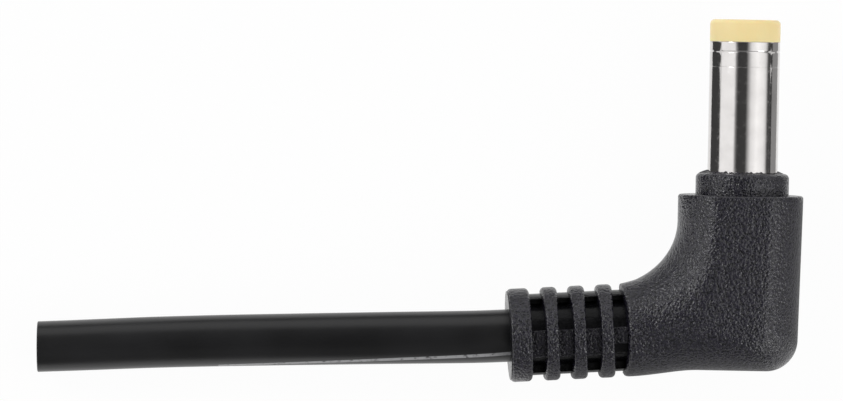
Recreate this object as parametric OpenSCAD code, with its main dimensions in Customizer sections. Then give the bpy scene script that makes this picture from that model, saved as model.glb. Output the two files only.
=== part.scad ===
/* [Barrel] */
// Outside diameter of the plug barrel
barrel_d = 5.5; // [5.2:0.1:5.8]
// Reach of the barrel beyond the collar
barrel_reach = 12; // [10.5:0.5:13]
// Wall of the barrel sleeve
sleeve_wall = 0.5; // [0.4:0.05:0.6]
// Height of the coloured tip ring
tip_h = 1.7; // [1.2:0.1:2.2]
// Bore of the spring socket in the centre
pin_bore = 1.7; // [1.4:0.05:1.9]
// Wall of the spring socket
socket_wall = 0.45; // [0.35:0.05:0.5]
// Width of the slit in the spring socket
slit_w = 0.25; // [0.15:0.05:0.35]

/* [Body] */
// Diameter of the collar round the barrel
collar_d = 7.3; // [7.1:0.1:7.8]
// Height of the collar above the body
collar_h = 1.7; // [1.3:0.1:2.1]
// Width of the upright leg of the body
body_w = 9.8; // [9.4:0.1:10.4]
// Thickness across the two flat sides of the body
body_t = 8.8; // [8.4:0.1:9.2]
// Height of the body, shoulder to underside
body_h = 13.75; // [13.35:0.1:14.95]
// Reach of the body arm from the barrel axis
arm_reach = 8.9; // [8.6:0.05:9.6]
// Diameter of the arm where the relief starts
arm_d = 7.24; // [6.9:0.02:7.6]
// Droop of the cord below square, in degrees
arm_droop = 3.7; // [0:0.1:6]

/* [Strain relief] */
// Diameter of the relief rings
ring_d = 7.3; // [6.9:0.1:7.8]
// Width of one ring
ring_w = 1; // [0.8:0.05:1.2]
// Gap between rings
ring_gap = 1.15; // [0.9:0.05:1.4]
// Number of rings before the end flange
ring_count = 3; // [2:1:4]
// Width of the end flange
flange_w = 1.6; // [1.2:0.1:2]
// Diameter of the relief core between rings
core_d = 6.36; // [6:0.02:6.6]

/* [Cord] */
// Outside diameter of the cord
cord_d = 4.06; // [3.6:0.02:4.4]
// Length of cord that shows beyond the relief
cord_len = 36.7; // [32.7:1:44.7]

/* [Hidden] */
$fn = 64;

// Heights along the barrel axis, from the collar's front face
shoulder_y = -collar_h;
bottom_y = shoulder_y - body_h;
barrel_r = barrel_d / 2;
bore_r = barrel_r - sleeve_wall;
rim_y = barrel_reach - tip_h;
pin_r = pin_bore / 2;
socket_r = pin_r + socket_wall;

// Tip insulator: ring at the front, bush inside the sleeve
tip_edge = 0.22;
tip_lip = 0.9;
tip_step_y = barrel_reach - tip_lip;
tip_bush = 3.2;
tip_hole_r = pin_r + 0.1;
tip_lead = 0.4;
socket_play = 0.05;

// Spring socket and its solder cup
socket_top = tip_step_y - 0.1;
socket_len = 9.8;
socket_low = socket_top - socket_len;
socket_floor = 0.6;
socket_lead = 0.15;
slit_len = 5.5;
stem_r = 0.9;
cup_r = 0.6;
cup_deep = 1.2;

// Grooves turned in the sleeve
groove_y = rim_y - 0.78;
groove_w = 0.12;
groove_deep = 0.04;
groove2_y = groove_y - 1.2;
groove2_w = 0.08;
groove2_deep = 0.03;

// Rear end of the sleeve, the lug and the insulator's neck
hold_r = barrel_r - 0.2;
hold_top = 0.05;
mouth_r = barrel_r + 0.05;
flange_r = barrel_r + 0.45;
flange_top = shoulder_y - 0.8;
flange_low = flange_top - 1;
lug_t = 0.4;
lug_r = barrel_r + 0.3;
lug_low = flange_low - lug_t;
neck_r = 1.6;
neck_low = lug_low - 0.6;
tab_w = 1.8;
tab_t = 0.35;
tab_low = lug_low - 3.2;
stem_low = neck_low - 2.2;

// Outline of the elbow, seen from the front
half_t = body_t / 2;
side_off = 0.1;
leg_in = body_w / 2 + side_off;
leg_out = body_w / 2 - side_off;
leg_draft = 0.02;
top_edge = 0.3;
elbow_y = shoulder_y - 2.1;
elbow_rx = 6.2;
corner_r = 2.5;
belly_x = -3.2;
arm_up = 3.03;
under_full = 0.3;
arm_r = arm_d / 2;
arm_dir = [-cos(arm_droop), -sin(arm_droop), 0];
arm_n = [-sin(arm_droop), cos(arm_droop), 0];
arm_end = [-arm_reach, bottom_y + arm_up, 0];
arm_in = arm_end + arm_r * arm_n;
arm_out = arm_end - arm_r * arm_n;
elbow_cx = -leg_in - elbow_rx;
elbow_turn = acos((arm_in[0] - elbow_cx) / elbow_rx);
elbow_ry = (elbow_y - arm_in[1]) / sin(elbow_turn);
loft_n = 24;
loft_sides = 40;
sink = 0.5;
over = 1;
lap = 0.1;
collar_edge = 0.4;

// Inner mould
inner_r = 3.5;
inner_low = arm_end[1] - 0.5;
inner_arm_r = 2.85;
inner_arm_gap = 0.6;

// Strain relief, along the arm
ring_r = ring_d / 2;
core_r = core_d / 2;
ring_edge = 0.25;
ring_pitch = ring_w + ring_gap;
flange_at = ring_gap * (ring_count + 1) + ring_w * ring_count;
relief_len = flange_at + flange_w;
cord_r = cord_d / 2;
sleeve_r = cord_r + 0.45;
web_top = -0.42;
web_low = 1.75;
web_low_first = 0.9;
slot_top = -2.8;
slot_low = 2.95;
slot_over = 0.2;
slot_wall = 0.6;

// Cord build, all on one centre line
shield_r = 1.15;
insul_r = 0.85;
strand_r = 0.4;
cord_sides = 12;
jacket_in = 1.6;
shield_in = 2.3;

// Centre line of the cord, as points with x, y, z
flange_face = arm_end + relief_len * arm_dir;
jacket_start = arm_end - jacket_in * arm_dir;
shield_start = arm_end - shield_in * arm_dir;
inside_run = [
    [0, stem_low + 0.9, 0],
    [0, stem_low - 1.2, 0],
    [-0.2, stem_low - 2.6, 0],
    [-1.1, stem_low - 4.1, 0],
    [-2.6, stem_low - 5.1, 0],
    [-4.2, stem_low - 5.5, 0]];
outside_run = [
    [-2, -0.11, -0.04],
    [-4.5, -0.21, -0.18],
    [-8.5, -0.34, -0.50],
    [-13, -0.50, -0.88],
    [-18, -0.68, -1.28],
    [-23, -0.87, -1.62],
    [-28, -1.10, -1.90],
    [-32, -1.33, -2.08],
    [-34.5, -1.47, -2.12],
    [-37, -1.60, -2.12]];
long_k = cord_len / 37;
fall_k = (half_t - cord_r) / 2.12;
free_run = [for (p = outside_run)
    flange_face + [long_k * p[0], long_k * p[1], fall_k * p[2]]];
route = concat(inside_run, [shield_start, jacket_start, flange_face], free_run);
insul_from = 1;
shield_from = len(inside_run);
jacket_from = shield_from + 1;
last = len(route) - 1;

// Tail of the shield, from the lug's tab back to the shield
tail_r = 0.42;
tail_sides = 8;
tail_off = shield_r + 0.15;
tail_gap = 0.05;
blob_r = 0.78;
blob_up = 0.6;
tail_x = -lug_r + tab_t + tail_gap + tail_r;
tail_run = [
    [tail_x, tab_low + 1.4, 0],
    [tail_x, tab_low - 0.4, 0],
    [tail_x - 0.48, tab_low - 2, 0],
    [tail_x - 1.88, tab_low - 3.3, 0],
    shield_start + 1.1 * [cos(arm_droop), sin(arm_droop), 0] + (tail_off + 0.05) * arm_n,
    shield_start + tail_off * arm_n,
    shield_start + 0.5 * arm_dir + tail_off * arm_n];

function lerp(a, b, t) = a + (b - a) * t;
function clip(t) = min(max(t, 0), 1);
function ease(t) = clip(t) * clip(t) * (3 - 2 * clip(t));
function unit(v) = v / norm(v);

// Outer side of the elbow: down the leg, round the corner, along the underside
function side_x(y) = leg_out - leg_draft * (shoulder_y - y);
corner_y = bottom_y + corner_r;
corner_x = side_x(corner_y) - corner_r;
corner_from = 0.4;
corner_to = 0.58;
function under_y(x) = lerp(bottom_y, arm_out[1], ease((belly_x - x) / (belly_x - arm_out[0])));
function leg_at(t) = let (y = lerp(elbow_y, corner_y, t)) [side_x(y), y];
function corner_at(t) = [corner_x + corner_r * cos(90 * t), corner_y - corner_r * sin(90 * t)];
function under_at(t) = let (x = lerp(corner_x, arm_out[0], t)) [x, under_y(x)];
function outer_at(s) =
    s < corner_from ? leg_at(s / corner_from)
    : s < corner_to ? corner_at((s - corner_from) / (corner_to - corner_from))
    : under_at((s - corner_to) / (1 - corner_to));
function inner_at(t) = [elbow_cx + elbow_rx * cos(elbow_turn * t),
    elbow_y - elbow_ry * sin(elbow_turn * t)];

// One cross section: an oval from an inner point to an outer point, h thick each way in its
// middle; a power k below 1 fills out its outer half
function oval(p, q, h, k) = [for (i = [0:loft_sides - 1])
    let (a = 360 * (i + 0.5) / loft_sides, w = (1 - cos(a)) / 2)
    [lerp(p[0], q[0], w), lerp(p[1], q[1], w),
        -h * sign(sin(a)) * pow(abs(sin(a)), w > 0.5 ? k : 1)]];
function leg_h(y) = (leg_in + side_x(y)) / 2;
function leg_oval(y, inset) =
    oval([-leg_in + inset, y], [side_x(y) - inset, y], leg_h(y) - inset, 1);
function arm_h(t) = lerp(leg_h(elbow_y), arm_r, ease((t - 0.45) / 0.55));
function under_k(t) = 1 - under_full * ease((t - 0.4) / 0.2) * (1 - ease((t - 0.6) / 0.4));
loft_rings = concat(
    [leg_oval(shoulder_y, top_edge),
     leg_oval(shoulder_y - 0.3 * top_edge, 0.3 * top_edge),
     leg_oval(shoulder_y - top_edge, 0)],
    [for (k = [0:loft_n]) let (t = k / loft_n)
        oval(inner_at(t), outer_at(t), arm_h(t), under_k(t))]);

// Side faces between m rings of n points, the rings starting at point s
function wall_faces(m, n, s) = [for (k = [0:m - 2], i = [0:n - 1], h = [0, 1])
    let (j = (i + 1) % n, a = s + k * n, b = a + n)
    h == 0 ? [a + i, b + i, a + j] : [a + j, b + i, b + j]];
function flip(faces) = [for (f = faces) [f[0], f[2], f[1]]];
function skin_faces(m, n) = concat(
    [[for (i = [0:n - 1]) i]],
    [[for (i = [0:n - 1]) m * n - 1 - i]],
    wall_faces(m, n, 0));

// The same for a tube with a hole: outer rings first, then the inner rings
function end_faces(n, a, b) = [for (i = [0:n - 1], h = [0, 1])
    let (j = (i + 1) % n)
    h == 0 ? [a + i, a + j, b + i] : [a + j, b + j, b + i]];
function pipe_faces(m, n) = concat(
    wall_faces(m, n, 0),
    flip(wall_faces(m, n, m * n)),
    end_faces(n, 0, m * n),
    flip(end_faces(n, (m - 1) * n, (2 * m - 1) * n)));

// Rings of a swept tube from point a to point b of a run
function run_dir(run, k) = let (e = len(run) - 1)
    unit(unit(run[min(k + 1, e)] - run[min(k, e - 1)]) + unit(run[max(k, 1)] - run[max(k - 1, 0)]));
function tube_ring(run, k, r, n) =
    let (d = run_dir(run, k), u = unit(cross([0, 0, 1], d)), v = cross(d, u))
    [for (i = [0:n - 1]) let (a = 360 * i / n) run[k] + r * cos(a) * u + r * sin(a) * v];
function tube_points(run, a, b, r, n) = [for (k = [a:b]) each tube_ring(run, k, r, n)];

module tube(run, a, b, r, n = cord_sides) {
    polyhedron(points = tube_points(run, a, b, r, n),
        faces = skin_faces(b - a + 1, n), convexity = 6);
}

module pipe(run, a, b, r, hole, n = cord_sides) {
    polyhedron(points = concat(tube_points(run, a, b, r, n), tube_points(run, a, b, hole, n)),
        faces = pipe_faces(b - a + 1, n), convexity = 6);
}

// A round bar on the barrel axis from y0 up to y1
module rod(r, y0, y1) {
    translate([0, y0, 0])
        rotate([-90, 0, 0])
            cylinder(r = r, h = y1 - y0);
}

// A cone on the barrel axis, r0 at y0 and r1 at y1
module taper(r0, r1, y0, y1) {
    translate([0, y0, 0])
        rotate([-90, 0, 0])
            cylinder(r1 = r0, r2 = r1, h = y1 - y0);
}

// Children drawn along +z start at the end of the arm and run out along the cord
module along_arm() {
    translate(arm_end)
        rotate([0, 0, 180 + arm_droop])
            rotate([0, 90, 0])
                children();
}

// A disc with rounded rims, standing on its flat end
module rounded_disc(r, w, e) {
    rotate_extrude() {
        square([r - e, w]);
        translate([0, e])
            square([r, w - 2 * e]);
        translate([r - e, e])
            circle(r = e);
        translate([r - e, w - e])
            circle(r = e);
    }
}

module elbow() {
    intersection() {
        polyhedron(points = [for (r = loft_rings) each r],
            faces = skin_faces(len(loft_rings), loft_sides), convexity = 6);
        translate([-2 * arm_reach, 2 * bottom_y, -half_t])
            cube([4 * arm_reach, -2 * bottom_y, body_t]);
    }
}

module collar() {
    collar_r = collar_d / 2;
    h = collar_h + sink;
    translate([0, shoulder_y - sink, 0])
        rotate([-90, 0, 0])
            rotate_extrude() {
                square([collar_r - collar_edge, h]);
                square([collar_r, h - collar_edge]);
                translate([collar_r - collar_edge, h - collar_edge])
                    circle(r = collar_edge);
            }
}

// A pair of pockets, front and back, in the gap that starts at z0
module slot(z0, z1, y0, y1) {
    for (s = [0, 1])
        mirror([s, 0, 0])
            translate([slot_wall, y0, z0])
                cube([core_r + over, y1 - y0, z1 - z0]);
}

module relief() {
    along_arm() {
        difference() {
            translate([0, 0, -sink])
                cylinder(r = core_r, h = sink + relief_len - flange_w / 2);
            for (i = [0:ring_count]) {
                z0 = i * ring_pitch - (i == 0 ? 0 : slot_over);
                z1 = i * ring_pitch + ring_gap + slot_over;
                slot(z0, z1, slot_top, web_top);
                slot(z0, z1, i == 0 ? web_low_first : web_low, slot_low);
            }
        }
        translate([0, 0, -sink])
            cylinder(r = sleeve_r, h = sink + relief_len - flange_w / 2);
        for (i = [1:ring_count])
            translate([0, 0, i * ring_pitch - ring_w])
                rounded_disc(ring_r, ring_w, ring_edge);
        translate([0, 0, flange_at])
            rounded_disc(ring_r, flange_w, ring_edge);
    }
}

module inner_block() {
    rod(inner_r, inner_low, flange_low);
    along_arm()
        translate([0, 0, -arm_reach + inner_arm_gap])
            cylinder(r = inner_arm_r, h = arm_reach - 2 * inner_arm_gap);
}

module sleeve_solid() {
    rod(barrel_r, hold_top, rim_y);
    rod(hold_r, flange_top, hold_top);
    rod(flange_r, flange_low, flange_top);
}

module lug_solid() {
    difference() {
        rod(lug_r, lug_low, flange_low);
        rod(neck_r, lug_low - over, flange_low + over);
    }
    translate([-lug_r, tab_low, -tab_w / 2])
        cube([tab_t, flange_low - tab_low, tab_w]);
}

// Groove turned in the sleeve, centred at height y
module groove(y, w, deep) {
    difference() {
        rod(barrel_r + over, y - w / 2, y + w / 2);
        rod(barrel_r - deep, y - w, y + w);
    }
}

module centre_blob() {
    rod(cup_r, stem_low, stem_low + cup_deep);
    intersection() {
        translate([0, stem_low, 0])
            sphere(r = stem_r);
        rod(2 * stem_r, stem_low - 2 * stem_r, stem_low);
    }
}

module sleeve_blob() {
    translate([tail_x, tab_low + blob_up, 0])
        sphere(r = blob_r);
}

module overmould() {
    color("dimgray")
        difference() {
            union() {
                elbow();
                collar();
                relief();
            }
            sleeve_solid();
            rod(mouth_r, -hold_top, over);
            inner_block();
            tube(route, jacket_from, jacket_from + 2, cord_r);
        }
}

module inner_mould() {
    color("gainsboro")
        difference() {
            inner_block();
            lug_solid();
            rod(neck_r, neck_low, flange_low + over);
            rod(stem_r, stem_low, neck_low + over);
            centre_blob();
            sleeve_blob();
            tube(tail_run, 0, len(tail_run) - 1, tail_r, tail_sides);
            tube(route, 0, shield_from, insul_r);
            tube(route, shield_from, jacket_from, shield_r);
            tube(route, jacket_from, jacket_from + 1, cord_r);
        }
}

module barrel_sleeve() {
    color("silver")
        difference() {
            sleeve_solid();
            rod(bore_r, flange_low - over, rim_y + over);
            groove(groove_y, groove_w, groove_deep);
            groove(groove2_y, groove2_w, groove2_deep);
        }
}

module tip_insulator() {
    color("khaki")
        difference() {
            union() {
                rod(bore_r, rim_y - tip_bush, rim_y + sink);
                translate([0, rim_y, 0])
                    rotate([-90, 0, 0])
                        rotate_extrude() {
                            square([barrel_r, tip_h - tip_edge]);
                            square([barrel_r - tip_edge, tip_h]);
                            translate([barrel_r - tip_edge, tip_h - tip_edge])
                                circle(r = tip_edge);
                        }
            }
            rod(socket_r + socket_play, rim_y - tip_bush - over, tip_step_y);
            rod(tip_hole_r, tip_step_y - over, barrel_reach + over);
            taper(tip_hole_r, tip_hole_r + tip_lead, barrel_reach - tip_lead, barrel_reach);
        }
}

module centre_contact() {
    color("goldenrod")
        difference() {
            union() {
                rod(socket_r, socket_low, socket_top);
                rod(stem_r, stem_low, socket_low + lap);
            }
            rod(pin_r, socket_low + socket_floor, socket_top + over);
            taper(pin_r, pin_r + socket_lead, socket_top - socket_lead, socket_top);
            rod(cup_r, stem_low - over, stem_low + cup_deep);
            translate([-slit_w / 2, socket_top - slit_len, -barrel_r])
                cube([slit_w, slit_len + over, barrel_d]);
        }
}

module rear_insulator() {
    color("saddlebrown")
        difference() {
            union() {
                rod(bore_r, flange_low, rim_y - tip_bush);
                rod(neck_r, neck_low, flange_low + lap);
            }
            rod(stem_r, neck_low - over, socket_low + over);
            rod(socket_r + socket_play, socket_low, rim_y - tip_bush + over);
        }
}

module sleeve_lug() {
    color("tan")
        lug_solid();
}

module centre_solder() {
    color("lightsteelblue")
        difference() {
            centre_blob();
            tube(route, 0, insul_from, strand_r);
        }
}

module sleeve_solder() {
    color("lightsteelblue")
        difference() {
            sleeve_blob();
            lug_solid();
            tube(tail_run, 0, len(tail_run) - 1, tail_r, tail_sides);
        }
}

module cord_jacket() {
    color("black")
        pipe(route, jacket_from, last, cord_r, shield_r);
}

module shield_wires() {
    color("orangered") {
        pipe(route, shield_from, last, shield_r, insul_r);
        tube(tail_run, 0, len(tail_run) - 1, tail_r, tail_sides);
    }
}

module core_insulation() {
    color("white")
        pipe(route, insul_from, last, insul_r, strand_r);
}

module core_strands() {
    color("peru")
        tube(route, 0, last, strand_r);
}

overmould();
inner_mould();
barrel_sleeve();
tip_insulator();
centre_contact();
rear_insulator();
sleeve_lug();
centre_solder();
sleeve_solder();
cord_jacket();
shield_wires();
core_insulation();
core_strands();
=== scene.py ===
import bpy
import numpy as np
from mathutils import Matrix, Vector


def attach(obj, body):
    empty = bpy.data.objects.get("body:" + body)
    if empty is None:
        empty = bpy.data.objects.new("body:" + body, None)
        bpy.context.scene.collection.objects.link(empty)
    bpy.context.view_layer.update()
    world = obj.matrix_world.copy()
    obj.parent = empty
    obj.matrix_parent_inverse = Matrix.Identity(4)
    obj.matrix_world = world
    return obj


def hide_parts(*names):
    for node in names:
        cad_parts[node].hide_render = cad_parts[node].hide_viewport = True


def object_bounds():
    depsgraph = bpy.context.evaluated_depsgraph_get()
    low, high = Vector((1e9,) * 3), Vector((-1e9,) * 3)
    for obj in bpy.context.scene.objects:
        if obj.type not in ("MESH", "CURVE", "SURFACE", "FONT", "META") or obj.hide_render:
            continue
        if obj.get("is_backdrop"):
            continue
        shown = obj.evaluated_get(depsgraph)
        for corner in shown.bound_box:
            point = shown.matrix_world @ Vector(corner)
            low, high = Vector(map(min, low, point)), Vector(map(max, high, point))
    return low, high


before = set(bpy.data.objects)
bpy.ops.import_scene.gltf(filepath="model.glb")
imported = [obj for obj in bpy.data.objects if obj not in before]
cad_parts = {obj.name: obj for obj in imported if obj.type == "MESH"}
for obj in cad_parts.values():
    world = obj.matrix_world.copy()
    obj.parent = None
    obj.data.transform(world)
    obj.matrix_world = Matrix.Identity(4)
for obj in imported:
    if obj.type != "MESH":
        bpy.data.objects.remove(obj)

cad_low, cad_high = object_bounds()

# ---------------------------------------------------------------------------
# Camera: square to the plug's flat side, a little from the cord's side and
# from above the barrel, through a long lens. Lengths here are millimetres.
MM = 0.001
look_at = np.array([-25.084, -2.581, 0.0])
cam_turn, cam_rise, cam_roll = np.radians([3.1, 1.5, 1.102])
cam_far = 700.0


def placed(axes, origin):
    """The matrix that carries local x, y and z to the three axes and stands at the origin given."""
    matrix = np.eye(4)
    matrix[:3, :3] = np.transpose(axes)
    matrix[:3, 3] = np.asarray(origin) * MM
    return Matrix(matrix.tolist())


back = np.array([-np.sin(cam_turn) * np.cos(cam_rise), np.sin(cam_rise),
                 np.cos(cam_turn) * np.cos(cam_rise)])
side = np.cross([0.0, 1.0, 0.0], back)
side /= np.linalg.norm(side)
rise = np.cross(back, side)
right = np.cos(cam_roll) * side + np.sin(cam_roll) * rise
up = -np.sin(cam_roll) * side + np.cos(cam_roll) * rise
camera = bpy.data.objects.new("camera", bpy.data.cameras.new("camera"))
camera.data.sensor_width = 36.0
camera.data.lens = 383.09
camera.data.clip_start, camera.data.clip_end = 0.01, 20.0
camera.matrix_world = placed((right, up, back), look_at + back * cam_far)
bpy.context.scene.collection.objects.link(camera)
bpy.context.scene.camera = camera
bpy.context.scene.view_settings.view_transform = "Standard"


# ---------------------------------------------------------------------------
# Mesh and finish tools, first used by the cord: a mesh is rings of points, and
# a finish is a small tree of shader sums.
def skin(rings, loop=False):
    """Quads between neighbouring rings of points (m, n, 3), each ring closed on itself. The end
    rings are closed by one flat face each, or with loop the last ring joins the first. Faces are
    turned outwards by the sign of the enclosed volume."""
    m, n = rings.shape[:2]
    index = np.arange(m * n).reshape(m, n)
    a = index if loop else index[:-1]
    b = np.roll(index, -1, 0) if loop else index[1:]
    quads = np.stack([a, np.roll(a, -1, 1), np.roll(b, -1, 1), b], -1).reshape(-1, 4)
    caps = [] if loop else [index[0][::-1], index[-1]]
    points = rings.reshape(-1, 3)
    centre = points.mean(0)
    p = points[quads] - centre
    volume = (np.einsum("ij,ij->i", p[:, 0], np.cross(p[:, 1], p[:, 2])).sum()
              + np.einsum("ij,ij->i", p[:, 0], np.cross(p[:, 2], p[:, 3])).sum())
    for cap in caps:
        q = points[cap] - centre
        volume += np.einsum("ij,ij->i", np.cross(q[1:-1], q[2:]),
                            np.broadcast_to(q[0], q[1:-1].shape)).sum()
    if volume < 0:
        quads, caps = quads[:, ::-1], [cap[::-1] for cap in caps]
    return points, quads, caps


def make_piece(name, skins, sharp=40.0):
    """One object from one or more skins, in millimetres, smooth but for edges sharper than the
    angle given and for the flat end faces."""
    points = np.concatenate([s[0] for s in skins]) * MM
    corners, counts, smooth, start = [], [], [], 0
    for s_points, quads, caps in skins:
        corners.append(quads.reshape(-1) + start)
        counts.append(np.full(len(quads), 4))
        smooth.append(np.ones(len(quads), bool))
        for cap in caps:
            corners.append(cap + start)
            counts.append([len(cap)])
            smooth.append([False])
        start += len(s_points)
    corners, counts = np.concatenate(corners), np.concatenate(counts)
    mesh = bpy.data.meshes.new(name)
    mesh.vertices.add(len(points))
    mesh.vertices.foreach_set("co", points.astype(np.float32).reshape(-1))
    mesh.loops.add(len(corners))
    mesh.loops.foreach_set("vertex_index", corners.astype(np.int32))
    mesh.polygons.add(len(counts))
    starts = np.concatenate([[0], np.cumsum(counts)[:-1]])
    mesh.polygons.foreach_set("loop_start", starts.astype(np.int32))
    mesh.polygons.foreach_set("use_smooth", np.concatenate(smooth))
    mesh.update(calc_edges=True)
    mesh.validate()
    mesh.set_sharp_from_angle(angle=np.radians(sharp))
    piece = bpy.data.objects.new(name, mesh)
    bpy.context.scene.collection.objects.link(piece)
    return piece


class Shade:
    """One socket of a node tree. Python sums on it add Math nodes to the tree."""

    def __init__(self, tree, socket):
        self.tree, self.socket = tree, socket

    def node(self, kind, settings=(), inputs=(), out=0):
        """Adds a node of that type: its settings first (stops are a ramp's), then the values or
        links of its sockets, by name or number."""
        made = self.tree.nodes.new(kind)
        for name, value in dict(settings).items():
            if name == "stops":
                while len(made.color_ramp.elements) < len(value):
                    made.color_ramp.elements.new(0.5)
                for element, (at, colour) in zip(made.color_ramp.elements, value):
                    element.position = at
                    element.color = (*colour, 1.0)
            else:
                setattr(made, name, value)
        for name, value in dict(inputs).items():
            if isinstance(value, Shade):
                self.tree.links.new(value.socket, made.inputs[name])
            else:
                made.inputs[name].default_value = value
        return Shade(self.tree, made.outputs[out])

    def sum(self, operation, *terms):
        """A Math node of the terms given. This socket is a term only where it is named as one."""
        return self.node("ShaderNodeMath", {"operation": operation}, dict(enumerate(terms)))

    def __add__(self, other): return self.sum("ADD", self, other)
    __radd__ = __add__
    def __sub__(self, other): return self.sum("SUBTRACT", self, other)
    def __rsub__(self, other): return self.sum("SUBTRACT", other, self)
    def __mul__(self, other): return self.sum("MULTIPLY", self, other)
    __rmul__ = __mul__
    def __truediv__(self, other): return self.sum("DIVIDE", self, other)

    def larger(self, other): return self.sum("MAXIMUM", self, other)

    def ramp(self, low, high, start=0.0, end=1.0):
        """Maps low..high to start..end with a smooth step."""
        return self.node("ShaderNodeMapRange", {"interpolation_type": "SMOOTHSTEP"},
                         {0: self, 1: low, 2: high, 3: start, 4: end})

    def blend(self, dark, light):
        """Mixes two colours by this socket."""
        return self.node("ShaderNodeMix", {"data_type": "RGBA"},
                         {0: self, 6: dark if isinstance(dark, Shade) else (*dark, 1.0),
                          7: light if isinstance(light, Shade) else (*light, 1.0)}, out=2)


def new_finish(name, **constants):
    """A material with one Principled shader, whose constants go on the shader's own sockets.
    Returns the material, the shader and a Shade that holds Object coordinates."""
    material = bpy.data.materials.new(name)
    material.use_nodes = True
    tree = material.node_tree
    shader = tree.nodes["Principled BSDF"]
    for socket, value in constants.items():
        shader.inputs[socket.replace("_", " ")].default_value = value
    where = Shade(tree, None).node("ShaderNodeTexCoord", out=3)
    return material, shader, where


def lay(shader, where, **sockets):
    """Links Shades to the shader's sockets."""
    for socket, value in sockets.items():
        where.tree.links.new(value.socket, shader.inputs[socket.replace("_", " ")])


# ---------------------------------------------------------------------------
# Cord: a round lead with a satin black skin, which leaves the strain relief
# nearly square, sinks slowly on to the table and ends in a clean cut.
cord_r, hollow_r, cord_inside = 2.03, 1.15, 0.4
cut_bevel, cut_lip = 0.1, 0.03
arm_end = np.array([-8.9, -12.42, 0.0])
droop = np.radians(3.7)
arm_dir = np.array([-np.cos(droop), -np.sin(droop), 0.0])
arm_up = np.array([-np.sin(droop), np.cos(droop), 0.0])
relief_len = 9.2
exit_point = arm_end + relief_len * arm_dir
run_scale = np.array([36.7 / 37.0, 36.7 / 37.0, 2.37 / 2.12])
free_run = exit_point + run_scale * np.array([
    [-2, -0.11, -0.04], [-4.5, -0.21, -0.18], [-8.5, -0.34, -0.50], [-13, -0.50, -0.88],
    [-18, -0.68, -1.28], [-23, -0.87, -1.62], [-28, -1.10, -1.90], [-32, -1.33, -2.08],
    [-34.5, -1.47, -2.12], [-37, -1.60, -2.12]])
inside_run = np.array([[0, -5.8, 0], [0, -7.9, 0], [-0.2, -9.3, 0], [-1.1, -10.8, 0],
                       [-2.6, -11.8, 0], [-4.2, -12.2, 0]])


def smooth_path(points, step):
    """A Catmull-Rom curve through the points, sampled about every step millimetres: on each span
    the point is a cubic whose end slopes are half the chord between the span's neighbours."""
    p = np.vstack([2 * points[0] - points[1], points, 2 * points[-1] - points[-2]])
    count = np.maximum(2, np.ceil(np.linalg.norm(np.diff(points, axis=0), axis=1) / step))
    span = np.repeat(np.arange(len(count)), count.astype(int))
    first = np.concatenate([[0], np.cumsum(count)[:-1]])
    t = ((np.arange(len(span)) - first[span]) / count[span])[:, None]
    a, b, c, d = (p[span + k] for k in range(4))
    curve = 0.5 * (2 * b + (c - a) * t + (2 * a - 5 * b + 4 * c - d) * t ** 2
                   + (3 * b - a - 3 * c + d) * t ** 3)
    return np.vstack([curve, points[-1]])


def along(path, radius, sides, turns=0.0, off=0.0, phase=0.0):
    """Rings round a path: each is a circle square to the path's direction, of the radius at that
    point. With turns, the circle's centre winds round the path at the distance off."""
    slope = np.gradient(path, axis=0)
    slope /= np.linalg.norm(slope, axis=1)[:, None]
    u = np.cross(slope, [0.0, 0.0, 1.0])
    u /= np.linalg.norm(u, axis=1)[:, None]
    v = np.cross(slope, u)
    length = np.concatenate([[0], np.cumsum(np.linalg.norm(np.diff(path, axis=0), axis=1))])
    wind = 2 * np.pi * turns * length / length[-1] + phase
    centre = path + off * (np.cos(wind)[:, None] * u + np.sin(wind)[:, None] * v)
    a = np.linspace(0, 2 * np.pi, sides, endpoint=False)
    radius = np.broadcast_to(radius, (len(path),))[:, None, None]
    return (centre[:, None] + radius * (np.cos(a)[None, :, None] * u[:, None]
                                        + np.sin(a)[None, :, None] * v[:, None]))


cord_start = exit_point - cord_inside * arm_dir
cord_path = smooth_path(np.vstack([cord_start, free_run]), 0.6)
run = np.concatenate([[0], np.cumsum(np.linalg.norm(np.diff(cord_path, axis=0), axis=1))])


def cut_upright(rings, over=2.0):
    """Leans the last rings of the cord about their own centres, more and more over the last
    millimetres, until the end stands upright as it was cut."""
    slope = np.gradient(cord_path, axis=0)
    off = rings - cord_path[:, None]
    share = np.clip(1 - (run[-1] - run) / over, 0, 1)[:, None]
    lean = share * (off @ right) / (slope @ right)[:, None]
    return rings - lean[..., None] * slope[:, None]


cord_sides = 96
shrink = np.interp(cord_path[:, 0], [-55.0, -18.0], [0.975, 1.012])
outer = cut_upright(along(cord_path, cord_r * shrink, cord_sides))
hollow = cut_upright(along(cord_path, hollow_r, cord_sides))
lip = outer[-1] - (outer[-1] - cord_path[-1]) * cut_lip
tube = np.concatenate([outer[:-1], outer[-1:] + cut_bevel * (outer[-2:-1] - outer[-1:]), lip[None],
                       hollow[::-1]])
cord = make_piece("cord_jacket_skin", [skin(tube, loop=True)])

# The skin carries two measures for its plain printed line: the run along the cord, and the distance
# round it from the line, which winds slowly from the lower front to the underside.
print_from, print_wind = 40.0, 1.4
print_half, print_end = 0.14, 23.0
ring_run = np.concatenate([run, run[-1:], run[::-1]])[:, None]
off = tube - np.concatenate([cord_path, cord_path[-1:], cord_path[::-1]])[:, None]
round_at = np.degrees(np.arctan2(-off[..., 1], off[..., 2]))
apart = np.abs((round_at - print_from - print_wind * ring_run + 180.0) % 360.0 - 180.0)
apart[len(cord_path):] = 180.0
for named, values in (("print_run", ring_run + 0 * apart),
                      ("print_off", np.radians(apart) * cord_r)):
    cord.data.attributes.new(named, "FLOAT", "POINT").data.foreach_set(
        "value", values.astype(np.float32).ravel())
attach(cord, "root")
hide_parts("cord_jacket")

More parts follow.
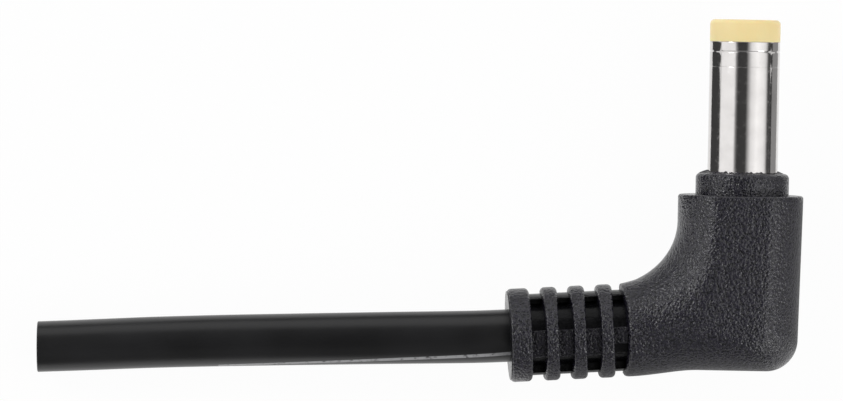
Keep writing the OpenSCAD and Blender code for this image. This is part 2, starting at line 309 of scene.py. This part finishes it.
finish, shader, where = new_finish("cord_skin")
grain = where.node("ShaderNodeTexNoise", inputs={0: where, "Scale": 2600.0, "Detail": 3.0})
cloud = where.node("ShaderNodeTexNoise", inputs={0: where, "Scale": 160.0, "Detail": 2.0})
run_at = where.node("ShaderNodeAttribute", {"attribute_name": "print_run"}, out=2)
off_at = where.node("ShaderNodeAttribute", {"attribute_name": "print_off"}, out=2)
ink = ((1 - off_at.ramp(print_half, print_half + 0.05))
       * (1 - run_at.ramp(print_end, print_end + 0.2)) * grain.ramp(0.2, 0.5))
skin_tone = cloud.ramp(0.3, 0.7).blend((0.004, 0.004, 0.0045), (0.007, 0.007, 0.008))
lay(shader, where,
    Base_Color=ink.blend(skin_tone, (0.34, 0.34, 0.35)),
    Roughness=0.26 + 0.12 * cloud + 0.04 * grain,
    Normal=where.node("ShaderNodeBump", inputs={"Strength": 0.25, "Distance": 0.00002,
                                                "Height": grain}))
cord.data.materials.append(finish)

# ---------------------------------------------------------------------------
# Conductors in the cord: a served copper shield round a white core insulation
# with nineteen fine copper strands. They show at the cut end.
shield_wires, wire_r, wire_ring, wire_turns = 26, 0.118, 1.0, 2.2
strand_r, strand_turns, insulation_r, insulation_bore = 0.074, 3.0, 0.85, 0.4
tail_strands, tail_strand_r = 6, 0.15
shield_start = arm_end - 2.3 * arm_dir
wire_path = np.vstack([smooth_path(np.vstack([shield_start, exit_point]), 1.2)[:-1],
                       smooth_path(np.vstack([exit_point, free_run]), 1.0)])
shield = make_piece("served_shield", [
    skin(along(wire_path, wire_r, 8, wire_turns, wire_ring, 2 * np.pi * k / shield_wires))
    for k in range(shield_wires)])
core_path = smooth_path(np.vstack([inside_run, shield_start, exit_point, free_run]), 1.0)
strand_places = [(0.0, 0.0)] + [(0.155, k * np.pi / 3) for k in range(6)] + [
    (0.31 if k % 2 else 0.27, k * np.pi / 6) for k in range(12)]
strands = make_piece("core_strand_bundle", [
    skin(along(core_path, strand_r, 8, strand_turns, off, phase)) for off, phase in strand_places])
core_tube = np.concatenate([along(core_path[2:], insulation_r, 32),
                            along(core_path[2:], insulation_bore, 32)[::-1]])
core = make_piece("core_insulation_tube", [skin(core_tube, loop=True)])
tail_path = smooth_path(np.array([
    [-2.23, -5.7, 0], [-2.23, -7.5, 0], [-2.71, -9.1, 0], [-4.11, -10.4, 0],
    [-5.59, -10.85, 0], [-6.69, -10.97, 0], [-7.19, -11.01, 0]]), 0.5)
tail = make_piece("shield_tail", [
    skin(along(tail_path, tail_strand_r, 10, 1.5, 0.26, 2 * np.pi * k / tail_strands))
    for k in range(tail_strands)])
for piece, node, named in ((shield, "shield_wires", "copper"), (strands, "core_strands", "copper"),
                           (core, "core_insulation", "core_skin"), (tail, "shield_wires", "copper")):
    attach(piece, "root")
    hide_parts(node)

finish, shader, where = new_finish("copper_wire", Metallic=1.0)
stain = where.node("ShaderNodeTexNoise", inputs={0: where, "Scale": 1500.0, "Detail": 4.0})
lay(shader, where,
    Base_Color=stain.ramp(0.35, 0.7).blend((0.80, 0.36, 0.20), (0.55, 0.22, 0.12)),
    Roughness=0.22 + 0.25 * stain)
for piece in (shield, strands, tail):
    piece.data.materials.append(finish)

finish, shader, where = new_finish("core_insulation_white")
stain = where.node("ShaderNodeTexNoise", inputs={0: where, "Scale": 900.0, "Detail": 3.0})
lay(shader, where,
    Base_Color=stain.ramp(0.3, 0.7).blend((0.74, 0.73, 0.70), (0.62, 0.61, 0.58)),
    Roughness=0.4 + 0.2 * stain)
core.data.materials.append(finish)

# ---------------------------------------------------------------------------
# Elbow body: the black over-moulded grip, an upright leg that turns into the
# arm, with two flat sides and a fine spark-eroded grain.
shoulder_y, bottom_y, half_t = -1.7, -15.45, 4.4
leg_in, leg_out, leg_draft = 5.0, 4.8, 0.02
elbow_y, elbow_rx, corner_r, belly_x = -3.8, 6.2, 2.5, -3.2
arm_r, under_full = 3.62, 0.3
shoulder_edge, crease, mouth_edge, mouth_lip = 0.22, 0.1, 0.3, 0.4
arm_in, arm_out = arm_end + arm_r * arm_up, arm_end - arm_r * arm_up
elbow_cx = -leg_in - elbow_rx
elbow_turn = np.arccos((arm_in[0] - elbow_cx) / elbow_rx)
elbow_ry = (elbow_y - arm_in[1]) / np.sin(elbow_turn)
corner_y = bottom_y + corner_r
corner_from, corner_to = 0.4, 0.58  # where the corner lies on the outer line's 0..1


def ease(t):
    """The smooth step 3t^2 - 2t^3 on 0..1."""
    t = np.clip(t, 0.0, 1.0)
    return t * t * (3.0 - 2.0 * t)


def side_x(y):
    """The leg's outer side, which leans in with depth by its draft."""
    return leg_out - leg_draft * (shoulder_y - y)


corner_x = side_x(corner_y) - corner_r


def outer_line(s):
    """Outer side of the elbow for s on 0..1: down the leg, a quarter circle round the corner, and
    along the underside, which rises with a smooth step to the arm."""
    leg_yy = elbow_y + (corner_y - elbow_y) * np.clip(s / corner_from, 0, 1)
    turn = np.pi / 2 * np.clip((s - corner_from) / (corner_to - corner_from), 0, 1)
    x2 = corner_x + (arm_out[0] - corner_x) * np.clip((s - corner_to) / (1 - corner_to), 0, 1)
    y2 = bottom_y + (arm_out[1] - bottom_y) * ease((belly_x - x2) / (belly_x - arm_out[0]))
    x = np.where(s < corner_from, side_x(leg_yy),
                 np.where(s < corner_to, corner_x + corner_r * np.cos(turn), x2))
    y = np.where(s < corner_from, leg_yy,
                 np.where(s < corner_to, corner_y - corner_r * np.sin(turn), y2))
    return np.stack([x, y], -1)


def inner_line(t):
    """Inner side of the elbow for t on 0..1: part of an ellipse from the leg to the arm."""
    return np.stack([elbow_cx + elbow_rx * np.cos(elbow_turn * t),
                     elbow_y - elbow_ry * np.sin(elbow_turn * t)], -1)


def soft_limit(z, limit, soft):
    """z held to +-limit, turning over a width soft: |z| - soft log(1 + e^((|z| - limit) / soft))."""
    over = np.logaddexp(0.0, (np.abs(z) - limit) / soft) * soft
    return np.sign(z) * (np.abs(z) - over)


def ovals(p, q, h, k, inset, sides):
    """Cross sections between the inner points p and the outer points q: w = (1 - cos a) / 2 goes
    from p to q, and z is the half thickness h times sin a, or on the outer half times sin a to
    the power k, cut flat at the two sides. inset shrinks the whole section by that much."""
    a = 2 * np.pi * (np.arange(sides) + 0.5) / sides
    w = ((1 - np.cos(a)) / 2)[None, :]
    line = (q - p) / np.linalg.norm(q - p, axis=1)[:, None]
    p, q = p + inset[:, None] * line, q - inset[:, None] * line
    flat = p[:, None] + (q - p)[:, None] * w[..., None]
    power = np.where(w > 0.5, k[:, None], 1.0)
    swell = (h - inset)[:, None] * np.sign(np.sin(a)) * np.abs(np.sin(a)) ** power
    limit = np.maximum(half_t - inset, 0.02)[:, None]
    z = soft_limit(swell, limit, np.minimum(crease, 0.3 * limit))
    return np.concatenate([flat, z[..., None]], -1)


sides = 288
turns = np.linspace(0, np.pi / 2, 9)
inset = np.concatenate([[1.6, 0.9], shoulder_edge * (1 - np.sin(turns))])
drop = np.concatenate([[0.0, 0.0], shoulder_edge * (1 - np.cos(turns))])
leg_top = shoulder_y - np.concatenate([drop, np.linspace(0.5, 1.95, 8)])
inset = np.concatenate([inset, np.zeros(8)])
leg_half = (leg_in + side_x(leg_top)) / 2
leg = ovals(np.stack([np.full_like(leg_top, -leg_in), leg_top], -1),
            np.stack([side_x(leg_top), leg_top], -1), leg_half, np.ones_like(leg_half), inset,
            sides)
t = np.linspace(0, 1, 190)
leg_h = (leg_in + side_x(elbow_y)) / 2
h = leg_h + (arm_r - leg_h) * ease((t - 0.45) / 0.55)
k = 1 - under_full * ease((t - 0.4) / 0.2) * (1 - ease((t - 0.6) / 0.4))
p, q = inner_line(t), outer_line(t)
middle = (p + q) / 2
to_end = np.linalg.norm(np.diff(middle, axis=0), axis=1)[::-1].cumsum()[::-1]
to_end = np.append(to_end, 0.0)
depth = np.clip(1 - to_end / mouth_edge, 0, 1)
bend = ovals(p, q, h, k, mouth_edge * (1 - np.sqrt(1 - depth ** 2)), sides)
lip_reach = mouth_lip * ease(1 - to_end / 2.5)[:, None, None]
bend += lip_reach * (1 - np.clip(np.abs(bend[..., 2:]) / arm_r, 0, 1)) * arm_dir
elbow = make_piece("elbow_body", [skin(np.concatenate([leg, bend]))], sharp=50)


# ---------------------------------------------------------------------------
# Collar: the round step of the same moulding under the barrel, with a ragged
# film of flash where the mould shut on the plated sleeve.
def spun(profile, sides):
    """Rings round the barrel axis: each profile point (radius, y) is carried round a full turn."""
    a = np.linspace(0, 2 * np.pi, sides, endpoint=False)
    r = profile[:, :1] + 0 * a
    return np.stack([r * np.cos(a), np.broadcast_to(profile[:, 1:], r.shape), r * np.sin(a)], -1)


def arc(cx, cy, r, start, end, count):
    """Points on a circle between two angles in degrees."""
    a = np.radians(np.linspace(start, end, count))
    return np.stack([cx + r * np.cos(a), cy + r * np.sin(a)], -1)


collar_r, collar_edge = 3.65, 0.4
collar_line = np.vstack([
    [[0.9, -2.2], [collar_r, -2.2], [collar_r, -1.4], [collar_r, -0.8]],
    arc(collar_r - collar_edge, -collar_edge, collar_edge, 0, 90, 9),
    [[3.0, 0.0], [2.9, 0.0]]])
collar = make_piece("collar", [skin(spun(collar_line, 192))])

# The flash's height and width wander round the barrel: sums of slow, middling and quick waves, cut
# from one draw of noise, with a few lumps (turn, height, width) where it tore.
flash_sides, flash_r, flash_low, lump_turn = 220, 2.74, -0.1, 0.07
flash_waves = ((0.10, 6), (0.08, 20), (0.05, 60))
flash_lumps = ((0.0, 0.08, 0.25), (0.12, 0.12, 0.15), (3.1, 0.15, 0.4), (3.35, 0.08, 0.2))
flash_turn = np.linspace(0, 2 * np.pi, flash_sides, endpoint=False)
wave_count = np.abs(np.fft.fftfreq(flash_sides, 1 / flash_sides))
noise = np.random.default_rng(7).normal(size=(3, flash_sides))
ragged = sum(weight * np.real(np.fft.ifft(np.fft.fft(row) * (wave_count < most)))
             for row, (weight, most) in zip(noise, flash_waves))
climb = np.clip(0.1 + 0.9 * ragged, 0.0, 0.34)
spread = np.clip(0.28 + 0.9 * np.roll(ragged, 57), 0.05, 0.5)
for lump_at, tall, wide in flash_lumps:
    lump = np.exp(-((flash_turn - lump_at) / lump_turn) ** 2)
    climb, spread = climb + tall * lump, spread + wide * lump
flash_rings = []
for out_share, up_share in ((0.0, None), (1.0, None), (1.0, 0.02), (0.75, 0.35), (0.35, 0.8),
                            (0.12, 1.0), (0.0, 1.0)):
    r = flash_r + spread * out_share
    y = flash_low + 0 * climb if up_share is None else climb * up_share + 0.02
    flash_rings.append(np.stack([r * np.cos(flash_turn), y, r * np.sin(flash_turn)], -1))
flash = make_piece("mould_flash", [skin(np.array(flash_rings), loop=True)])

# ---------------------------------------------------------------------------
# Strain relief: the same moulding's three rings and wide end flange round
# the cord's sleeve, with bars left across each gap on all four sides.
ring_r, ring_edge, relief_core, sleeve_r = 3.65, 0.25, 3.18, 2.48
ring_w, ring_gap, flange_w = 1.0, 1.15, 1.6
ring_root, ring_lean, flange_lean = 0.15, 0.19, 0.05
bar_inside, bar_top, bar_edge, bar_over = 1.9, -0.42, 0.14, 0.3
bar_lows = (0.9, 1.75, 1.75, 1.75)  # the bar next to the elbow is the narrow one
top_chord, low_chord, spine_half, sleeve_to = 2.8, 2.95, 0.6, 8.4
relief_sides = 200


def on_arm(s, down, out):
    """Points at the distance s along the arm, down across it and out to the front."""
    return (arm_end + np.asarray(s)[..., None] * arm_dir - np.asarray(down)[..., None] * arm_up
            + np.asarray(out)[..., None] * np.array([0.0, 0.0, 1.0]))


def arm_ring(start, width, narrow):
    """A ring of the relief. Its side walls lean as the mould's cores need, so it is at its full
    width where the mould shuts, at the sides, and narrower in front and behind by narrow on each
    wall that faces a gap. Its rims are round, most at the sides, and a trace of the seam shows low
    on the front."""
    a = np.linspace(0, 2 * np.pi, relief_sides, endpoint=False)[None, :]
    front = np.abs(np.cos(a)) ** 1.5
    edge = 0.36 - 0.24 * front
    top = ring_r + 0.02 * np.exp(-((a - 0.36) / 0.022) ** 2)
    left, right = start + narrow * front, start + width - narrow * front
    turn = np.radians(np.linspace(0, 90, 9))[:, None]
    foot = np.array([1.2, 2.4, 2.9, 3.1, 3.2])[:, None] + 0 * a
    up, back = 1 - np.cos(turn), 1 - np.sin(turn)
    s = np.concatenate([left + 0 * foot, left + edge * up, right - edge * up[::-1],
                        right + 0 * foot])
    r = np.concatenate([foot, top - edge * back, top - edge * back[::-1], foot[::-1]])
    return skin(on_arm(s, r * np.sin(a), r * np.cos(a)))


def arm_disc(line):
    """Rings round the arm: each profile point (s, radius) is carried round a full turn."""
    a = np.linspace(0, 2 * np.pi, relief_sides, endpoint=False)[None, :]
    return skin(on_arm(line[:, :1] + 0 * a, line[:, 1:] * np.sin(a), line[:, 1:] * np.cos(a)))


def bridge(start, end, low, high, front):
    """A closed bar between two rings: across it runs from low to high, its outer side on the core
    circle with rounded corners, its inner side inside the sleeve or straight across."""
    v = low + (high - low) * (1 - np.cos(np.linspace(0, np.pi, 25))) / 2
    near = np.clip(1 - np.minimum(v - low, high - v) / bar_edge, 0, 1)
    w = np.sqrt(np.maximum(relief_core ** 2 - v ** 2, 0)) - bar_edge * (1 - np.sqrt(1 - near ** 2))
    line = np.vstack([np.stack([v, w * front], -1),
                      [[high, bar_inside * front], [low, bar_inside * front]]])
    return slab(start, end, line)


def slab(start, end, line):
    """A section line in (down, out) carried straight along the arm."""
    s = np.array([start, end])[:, None] + 0 * line[:, 0]
    return skin(on_arm(s, line[:, 0] + 0 * s, line[:, 1] + 0 * s))


def segment(start, end, flat, sign):
    """The strip of the core circle beyond the chord at down = flat."""
    half = np.sqrt(relief_core ** 2 - flat ** 2)
    w = np.linspace(-half, half, 31)
    v = sign * np.sqrt(relief_core ** 2 - w ** 2)
    v[0] = v[-1] = sign * abs(flat)
    return slab(start, end, np.stack([v, w], -1))


spine = np.array([[-2.9, -spine_half], [-2.9, spine_half], [3.0, spine_half], [3.0, -spine_half]])
ring_skins, web_skins = [], []
core_skins = [arm_disc(np.array([[-0.5, 1.0], [-0.5, sleeve_r],
                                 [sleeve_to, sleeve_r], [sleeve_to, 1.0]]))]
for k, bar_low in enumerate(bar_lows):
    start = k * (ring_w + ring_gap)
    a, b = start - bar_over, start + ring_gap + bar_over
    web_skins += [bridge(a, b, bar_top, bar_low, 1.0), bridge(a, b, bar_top, bar_low, -1.0)]
    core_skins += [segment(a, b, top_chord, -1.0), segment(a, b, low_chord, 1.0),
                   slab(a, b, spine)]
    if k < 3:
        ring_skins.append(arm_ring(start + ring_gap - ring_root, ring_w + 2 * ring_root, ring_lean))
flange_from = 4 * ring_gap + 3 * ring_w
flange_end = flange_from + flange_w + 0.012
ring_skins.append(arm_ring(flange_from - 0.1, flange_w + 0.1, flange_lean))
core_skins.append(arm_disc(np.array([
    [flange_from + 1.0, 1.2], [flange_from + 1.0, ring_r - 0.14],
    [flange_end, ring_r - 0.17], [flange_end, 1.2]])))
rings = make_piece("relief_rings", ring_skins)
webs = make_piece("relief_webs", web_skins)
relief_sleeve = make_piece("relief_core", core_skins)
for piece in (elbow, collar, flash, rings, webs, relief_sleeve):
    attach(piece, "root")
    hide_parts("overmould")

finish, shader, where = new_finish("glossy_pvc", Specular_IOR_Level=0.14)
streak = where.node("ShaderNodeTexNoise", inputs={
    0: where.node("ShaderNodeMapping", inputs={0: where, 3: (900.0, 3200.0, 900.0)}),
    "Scale": 1.0, "Detail": 2.0})
specks = where.node("ShaderNodeTexNoise", inputs={0: where, "Scale": 4000.0, "Detail": 1.0})
lay(shader, where,
    Base_Color=streak.ramp(0.3, 0.7).blend((0.007, 0.007, 0.008), (0.012, 0.012, 0.014)),
    Roughness=0.14 + 0.2 * streak,
    Normal=where.node("ShaderNodeBump", inputs={"Strength": 0.6, "Distance": 0.00006,
                                                "Height": streak * 0.6 + specks * 0.5}))
relief_sleeve.data.materials.append(finish)


def grained_pvc(name, shaded_pit_tone, lit_ridge_tone, specular):
    """Black soft plastic with the mould's spark-eroded grain: shallow cells, painted shade in them
    and a painted highlight on their ridges.
    """
    finish, shader, where = new_finish(name, Specular_IOR_Level=specular)
    pits = where.node("ShaderNodeTexVoronoi", {"feature": "SMOOTH_F1"},
                      {0: where, "Scale": 4300.0, "Smoothness": 0.3})
    fine = where.node("ShaderNodeTexNoise", inputs={0: where, "Scale": 6000.0, "Detail": 1.0})
    broad = where.node("ShaderNodeTexNoise", inputs={0: where, "Scale": 350.0, "Detail": 4.0})
    height = pits * 0.6 + fine * 0.8
    lay(shader, where,
        # The base colour follows the grain's height: painted shade in the cells, painted highlight
        # on the ridges.
        Base_Color=height.ramp(0.5, 0.8).blend(shaded_pit_tone, lit_ridge_tone),
        Roughness=0.21 + 0.08 * broad,
        Normal=where.node("ShaderNodeBump", inputs={"Strength": 1.0, "Distance": 0.0001,
                                                    "Height": height}))
    return finish


finish = grained_pvc("moulded_pvc", (0.001, 0.001, 0.0025), (0.0145, 0.0132, 0.0215), 0.58)
for piece in (elbow, collar, flash, rings):
    piece.data.materials.append(finish)
# The bars in the gaps get a darker copy of the same plastic with less sheen: painted shade for the
# recesses between the rings.
webs.data.materials.append(grained_pvc("recess_shaded_pvc", (0.001, 0.001, 0.002),
                                       (0.012, 0.011, 0.016), 0.25))

# ---------------------------------------------------------------------------
# Barrel sleeve: a turned brass tube with bright nickel plating, rolled over
# the tip ring, with one clear groove and one faint line near the front.
barrel_r, bore_r, rim_y, rim_edge = 2.75, 2.25, 10.3, 0.06
line_y, groove_y = 8.32, 9.52
foot_r, foot_low, foot_top = 3.2, -3.5, -2.5


def notch(y, wide, deep):
    """A V turned in the outside, with a flat foot."""
    return [[barrel_r, y - wide / 2 - 0.02], [barrel_r - 0.004, y - wide / 2],
            [barrel_r - deep, y - 0.012], [barrel_r - deep, y + 0.012],
            [barrel_r - 0.004, y + wide / 2], [barrel_r, y + wide / 2 + 0.02]]


outside = np.vstack([
    [[2.55, foot_top], [2.55, 0.05], [barrel_r - 0.02, 0.05], [barrel_r, 0.07], [barrel_r, 4.0]],
    notch(line_y, 0.05, 0.016), [[barrel_r, 9.0]], notch(groove_y, 0.15, 0.035),
    [[barrel_r, rim_y - 0.1]],
    arc(barrel_r - rim_edge, rim_y - rim_edge, rim_edge, 0, 90, 5),
    [[bore_r + 0.02, rim_y], [bore_r, rim_y - 0.02], [bore_r, 0.0], [bore_r, foot_low],
     [foot_r, foot_low], [foot_r, foot_top]]])
sleeve = make_piece("barrel_tube", [skin(spun(outside, 224), loop=True)], sharp=22)
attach(sleeve, "root")
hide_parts("barrel_sleeve")

finish, shader, where = new_finish("nickel_plating", Metallic=1.0)
turned = where.node("ShaderNodeTexNoise", inputs={
    0: where.node("ShaderNodeMapping", inputs={0: where, 3: (300.0, 9000.0, 300.0)}),
    "Scale": 1.0, "Detail": 3.0})
worn = where.node("ShaderNodeTexNoise", inputs={0: where, "Scale": 700.0, "Detail": 5.0})
dents = where.node("ShaderNodeTexNoise", inputs={0: where, "Scale": 2600.0, "Detail": 3.0})
lay(shader, where,
    Base_Color=worn.ramp(0.3, 0.75).blend((0.71, 0.69, 0.68), (0.64, 0.62, 0.61)),
    Roughness=0.07 + 0.06 * worn + 0.1 * dents.ramp(0.5, 0.75),
    Normal=where.node("ShaderNodeBump", inputs={"Strength": 0.5, "Distance": 0.000003,
                                                "Height": turned * 0.6 + dents}))
sleeve.data.materials.append(finish)

# ---------------------------------------------------------------------------
# Tip ring: the pale yellow moulded insulator pressed into the sleeve's mouth,
# with a countersunk hole for the jack's pin.
tip_y, tip_edge, tip_hole, sink = 12.0, 0.34, 0.95, 0.38
neck_y, neck_r, bush_y = 11.1, 1.35, 7.1
tip_line = np.vstack([
    [[barrel_r, rim_y], [barrel_r, rim_y + 0.4]],
    arc(barrel_r - tip_edge, tip_y - tip_edge, tip_edge, 0, 90, 7),
    [[1.6, tip_y], [tip_hole + sink + 0.05, tip_y], [tip_hole + sink, tip_y - 0.02],
     [tip_hole + 0.02, tip_y - sink], [tip_hole, tip_y - sink - 0.04], [tip_hole, neck_y],
     [neck_r, neck_y], [neck_r, bush_y], [bore_r, bush_y], [bore_r, rim_y]]])
tip = make_piece("tip_ring", [skin(spun(tip_line, 192), loop=True)], sharp=35)
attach(tip, "root")
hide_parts("tip_insulator")

finish, shader, where = new_finish("tip_plastic", Subsurface_Weight=0.15,
                                   Subsurface_Scale=0.0006)
cloud = where.node("ShaderNodeTexNoise", inputs={0: where, "Scale": 420.0, "Detail": 3.0})
fine = where.node("ShaderNodeTexNoise", inputs={0: where, "Scale": 5200.0, "Detail": 2.0})
lay(shader, where,
    Base_Color=cloud.ramp(0.3, 0.7).blend((0.99, 0.80, 0.41), (0.97, 0.77, 0.37)),
    Roughness=0.38 + 0.15 * fine,
    Normal=where.node("ShaderNodeBump", inputs={"Strength": 0.3, "Distance": 0.00003,
                                                "Height": fine}))
tip.data.materials.append(finish)

# ---------------------------------------------------------------------------
# Centre contact: the slit spring socket behind the tip's hole, gilt brass,
# with a solder cup at its rear.
pin_r, socket_r, socket_low, socket_top, socket_floor = 0.85, 1.3, 1.2, 11.0, 1.8
slit_w, slit_low = 0.25, 5.5
stem_r, cup_r, cup_low, cup_deep, axis_r = 0.9, 0.6, -6.7, 1.2, 0.02


def half_socket(sign):
    """One half of the slit part: an arc of wall between the two slits, from the slit's foot up to
    a chamfered mouth, as rings that run up the outside and down the inside of the wall."""
    line = np.array([[socket_r, slit_low], [socket_r, socket_top - 0.05],
                     [socket_r - 0.05, socket_top], [pin_r + 0.15, socket_top],
                     [pin_r, socket_top - 0.15], [pin_r, slit_low]])
    open_angle = np.arcsin(slit_w / 2 / line[:, :1])
    a = open_angle + (np.pi - 2 * open_angle) * np.linspace(0, 1, 40)[None, :]
    r = line[:, :1]
    strip = np.stack([sign * r * np.sin(a), np.broadcast_to(line[:, 1:], a.shape),
                      r * np.cos(a)], -1)
    return skin(np.swapaxes(strip, 0, 1))


cup_line = np.array([[axis_r, cup_low + cup_deep], [cup_r, cup_low + cup_deep],
                     [cup_r, cup_low], [stem_r, cup_low],
                     [stem_r, socket_low - 0.05], [stem_r + 0.05, socket_low],
                     [socket_r, socket_low], [socket_r, slit_low + 0.001],
                     [pin_r, slit_low + 0.001], [pin_r, socket_floor], [axis_r, socket_floor]])
socket = make_piece("spring_socket", [skin(spun(cup_line, 96)), half_socket(1), half_socket(-1)],
                    sharp=30)
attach(socket, "root")
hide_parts("centre_contact")

finish, shader, where = new_finish("gilt_contact", Metallic=1.0)
worn = where.node("ShaderNodeTexNoise", inputs={0: where, "Scale": 1100.0, "Detail": 4.0})
lay(shader, where,
    Base_Color=worn.ramp(0.3, 0.7).blend((0.88, 0.66, 0.32), (0.70, 0.50, 0.24)),
    Roughness=0.16 + 0.2 * worn)
socket.data.materials.append(finish)

# ---------------------------------------------------------------------------
# Hidden pieces: the first-shot block, the rear bush, the solder lug and the
# two soldered joints keep their solids and get their own finishes.
for node, low, high, roughness, metal in (
        ("inner_mould", (0.55, 0.54, 0.51), (0.68, 0.67, 0.63), 0.5, 0.0),
        ("rear_insulator", (0.12, 0.05, 0.025), (0.19, 0.09, 0.05), 0.45, 0.0),
        ("sleeve_lug", (0.72, 0.62, 0.42), (0.84, 0.75, 0.55), 0.25, 1.0),
        ("centre_solder", (0.55, 0.56, 0.58), (0.75, 0.76, 0.78), 0.3, 1.0),
        ("sleeve_solder", (0.55, 0.56, 0.58), (0.75, 0.76, 0.78), 0.3, 1.0)):
    finish, shader, where = new_finish(node + "_finish", Metallic=metal)
    cloud = where.node("ShaderNodeTexNoise", inputs={0: where, "Scale": 800.0, "Detail": 4.0})
    fine = where.node("ShaderNodeTexNoise", inputs={0: where, "Scale": 6000.0, "Detail": 2.0})
    lay(shader, where, Base_Color=cloud.ramp(0.3, 0.7).blend(low, high),
        Roughness=roughness - 0.08 + 0.2 * cloud,
        Normal=where.node("ShaderNodeBump", inputs={"Strength": 0.3, "Distance": 0.00002,
                                                    "Height": fine}))
    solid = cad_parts[node]
    for slot_at in range(max(1, len(solid.material_slots))):
        if len(solid.data.materials) <= slot_at:
            solid.data.materials.append(finish)
        solid.material_slots[slot_at].material = finish

# ---------------------------------------------------------------------------
# Table and studio: a white table under the plug, a sky in bands round the
# barrel's axis, dark cards that only reflections show, and two soft boxes.
table_z, table_half = cad_low[2], 2.0
table_mesh = bpy.data.meshes.new("table")
table_mesh.from_pydata([(x * table_half, y * table_half, table_z)
                        for x, y in ((-1, -1), (1, -1), (1, 1), (-1, 1))], [], [(0, 1, 2, 3)])
table = bpy.data.objects.new("table", table_mesh)
bpy.context.scene.collection.objects.link(table)
table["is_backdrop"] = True
finish = bpy.data.materials.new("table_paint")
finish.use_nodes = True
tree = finish.node_tree
tree.nodes.clear()
rays = tree.nodes.new("ShaderNodeLightPath")
camera_ray, glossy_ray, clear_ray = (Shade(tree, rays.outputs[name]) for name in (
    "Is Camera Ray", "Is Glossy Ray", "Is Transmission Ray"))
shown = camera_ray.larger(glossy_ray).larger(clear_ray)
paint = shown.node("ShaderNodeBsdfDiffuse", inputs={"Color": (0.9, 0.9, 0.9, 1.0)})
glow = shown.node("ShaderNodeEmission", inputs={"Color": (1.0, 1.0, 1.0, 1.0), "Strength": 1.0})
mixed = shown.node("ShaderNodeMixShader", inputs={0: shown * 0.96, 1: paint, 2: glow})
output = tree.nodes.new("ShaderNodeOutputMaterial")
tree.links.new(mixed.socket, output.inputs[0])
table.data.materials.append(finish)

world = bpy.data.worlds.new("studio")
bpy.context.scene.world = world
world.use_nodes = True
tree = world.node_tree
tree.nodes.clear()
rays = tree.nodes.new("ShaderNodeLightPath")
camera_ray = Shade(tree, rays.outputs["Is Camera Ray"])
heading = camera_ray.node("ShaderNodeTexCoord")
parts = tree.nodes.new("ShaderNodeSeparateXYZ")
tree.links.new(heading.socket, parts.inputs[0])
east, north, above = (Shade(tree, parts.outputs[k]) for k in range(3))
turn = east.sum("ARCTAN2", east, above) / (2 * np.pi) + 0.5


def tent(*stops):
    """Ramp stops from pairs of an angle from straight above, in degrees, and a radiance."""
    return [(0.5 + angle / 360.0, (level,) * 3) for angle, level in stops]


walls = turn.node("ShaderNodeValToRGB", {"stops": tent(
    (-90, 0.5), (-86, 1.15), (-38, 1.15), (-32, 0.30), (-26, 0.055), (2, 0.06), (10, 0.5),
    (18, 1.0), (38, 1.35), (62, 1.15), (70, 0.9), (79, 0.08))}, {0: turn})
reach = north.ramp(-0.80, -0.45) * (1 - north.ramp(0.70, 0.85))
poles = north.ramp(0.75, 0.9, 0.25, 1.1)
light = reach.node("ShaderNodeMix", {"data_type": "RGBA"}, {0: reach, 6: poles, 7: walls}, out=2)
room = light.node("ShaderNodeBackground", inputs={"Color": light, "Strength": 1.0})
sky = camera_ray.node("ShaderNodeBackground", inputs={"Color": (1, 1, 1, 1), "Strength": 1.0})
mixed = camera_ray.node("ShaderNodeMixShader", inputs={0: camera_ray, 1: room, 2: sky})
output = tree.nodes.new("ShaderNodeOutputWorld")
tree.links.new(mixed.socket, output.inputs[0])

flag_lift = 0.00005


def flag(name, near, far, low, high, level, fan=0.0):
    """A card that lies on the table from near to far along x and from low to high along y, in
    millimetres, wider at its far end by the share fan, and is seen only in reflections."""
    z = table_z + flag_lift
    mesh = bpy.data.meshes.new(name)
    spread = fan * (abs(far) - abs(near))
    corners = [(near, low), (far, low - spread), (far, high + spread), (near, high)]
    mesh.from_pydata([(x * MM, y * MM, z) for x, y in corners], [], [(0, 1, 2, 3)])
    card = bpy.data.objects.new(name, mesh)
    card.visible_camera = card.visible_diffuse = card.visible_shadow = False
    card.visible_transmission = card.visible_volume_scatter = False
    paint = bpy.data.materials.new(name)
    paint.use_nodes = True
    paint.node_tree.nodes.clear()
    start = Shade(paint.node_tree, None)
    glow = start.node("ShaderNodeEmission", inputs={"Color": (level, level, level, 1.0)})
    out = paint.node_tree.nodes.new("ShaderNodeOutputMaterial")
    paint.node_tree.links.new(glow.socket, out.inputs[0])
    mesh.materials.append(paint)
    bpy.context.scene.collection.objects.link(card)
    card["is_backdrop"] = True


flag("flag_left", -7.2, -1900.0, -2.0, 14.0, 0.06, fan=0.045)
flag("flag_right", 42.0, 1900.0, -2.0, 14.0, 0.06, fan=0.08)
flag("flag_right_grey", 8.2, 42.0, -2.0, 14.0, 0.32, fan=0.045)
# These two grey cards beside and under the body are painted shade: in reflections they stand in for
# the table's shade round the plug, which the table's glow leaves out.
flag("shade_card_elbow_right", 4.4, 40.0, -15.0, -2.2, 0.45)
flag("shade_card_elbow_under", -16.0, 4.2, -50.0, -15.4, 0.45)


def soft_box(name, towards, far, width, height, radiance):
    """A soft box that faces the plug from that direction, of a radiance near one where it is to
    mirror as white."""
    lamp = bpy.data.lights.new(name, "AREA")
    lamp.shape = "RECTANGLE"
    lamp.size, lamp.size_y = width * MM, height * MM
    lamp.energy = radiance * np.pi * width * height * MM * MM
    box = bpy.data.objects.new(name, lamp)
    out = np.array(towards, float) / np.linalg.norm(towards)
    across = np.cross([0.0, 1.0, 0.0], out)
    across /= np.linalg.norm(across)
    box.matrix_world = placed((across, np.cross(out, across), out), look_at + out * far)
    bpy.context.scene.collection.objects.link(box)


soft_box("box_corner", (-0.70, 0.42, 0.58), 400.0, 110.0, 110.0, 9.0)
soft_box("box_right", (0.76, -0.44, 0.48), 400.0, 120.0, 120.0, 6.0)

low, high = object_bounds()
